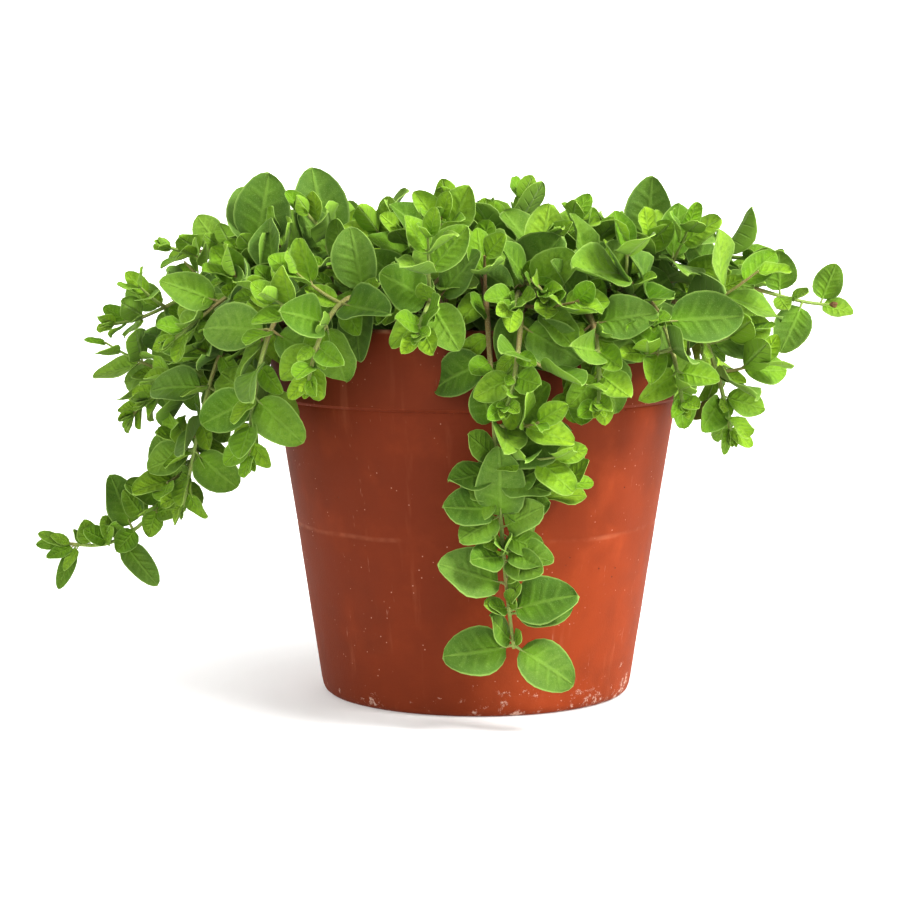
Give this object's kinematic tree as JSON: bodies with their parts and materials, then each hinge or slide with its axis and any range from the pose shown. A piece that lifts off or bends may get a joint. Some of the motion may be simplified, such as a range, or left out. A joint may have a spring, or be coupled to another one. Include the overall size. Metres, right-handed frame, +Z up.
{
  "type": "potted oregano",
  "caption": "Low spreading oregano plant in a tapered clay pot with a rim band; leafy sprigs stand up from the soil, arch over the rim and trail down the sides.",
  "frame": {"origin": "on the pot's axis, in the plane the pot stands on", "axes": "+Z up, -Y towards the front where one sprig hangs down the pot, +X to the right, along the plant's widest spread"},
  "size_m": [0.2655, 0.2112, 0.1776],
  "materials": {
    "clay": "unglazed satin-matt fired clay, dusty and scratched",
    "soil": "loose matt dark potting soil",
    "foliage": "soft downy matt leaves with pale edges on fuzzy stems"
  },
  "bodies": {
    "root": {"pot": "clay", "potting_soil": "soil", "sprig_front_hanging": "foliage", "sprig_left_trailing": "foliage", "sprig_right_trailing": "foliage", "sprig_left_middle": "foliage", "sprig_left_low": "foliage", "sprig_left_outer": "foliage", "sprig_left_upper": "foliage", "sprig_left_top": "foliage", "sprig_left_folded": "foliage", "sprig_front_left_low": "foliage", "sprig_front_left": "foliage", "sprig_front_rosette_1": "foliage", "sprig_front_rosette_2": "foliage", "sprig_front_rosette_3": "foliage", "sprig_front_rosette_4": "foliage", "sprig_front_right_low": "foliage", "sprig_front_right": "foliage", "sprig_right_low": "foliage", "sprig_right_upper": "foliage", "sprig_tall_left": "foliage", "sprig_broad_left": "foliage", "sprig_broad_front": "foliage", "sprig_tall_right": "foliage", "sprig_crown_01": "foliage", "sprig_crown_02": "foliage", "sprig_crown_03": "foliage", "sprig_crown_04": "foliage", "sprig_crown_05": "foliage", "sprig_crown_06": "foliage", "sprig_crown_07": "foliage", "sprig_crown_08": "foliage", "sprig_crown_09": "foliage", "sprig_crown_10": "foliage", "sprig_crown_11": "foliage", "sprig_crown_12": "foliage", "sprig_crown_13": "foliage", "sprig_crown_14": "foliage", "sprig_back_01": "foliage", "sprig_back_02": "foliage", "sprig_back_03": "foliage", "sprig_back_04": "foliage", "sprig_back_05": "foliage", "sprig_back_06": "foliage", "sprig_back_07": "foliage", "sprig_back_08": "foliage", "sprig_back_09": "foliage", "sprig_shoulder_01": "foliage", "sprig_shoulder_02": "foliage", "sprig_shoulder_03": "foliage", "sprig_shoulder_04": "foliage", "sprig_shoulder_05": "foliage", "sprig_shoulder_06": "foliage", "sprig_shoulder_07": "foliage", "sprig_shoulder_08": "foliage", "sprig_shoulder_09": "foliage", "sprig_shoulder_10": "foliage", "sprig_shoulder_11": "foliage", "sprig_shoulder_12": "foliage"}
  },
  "joints": []
}
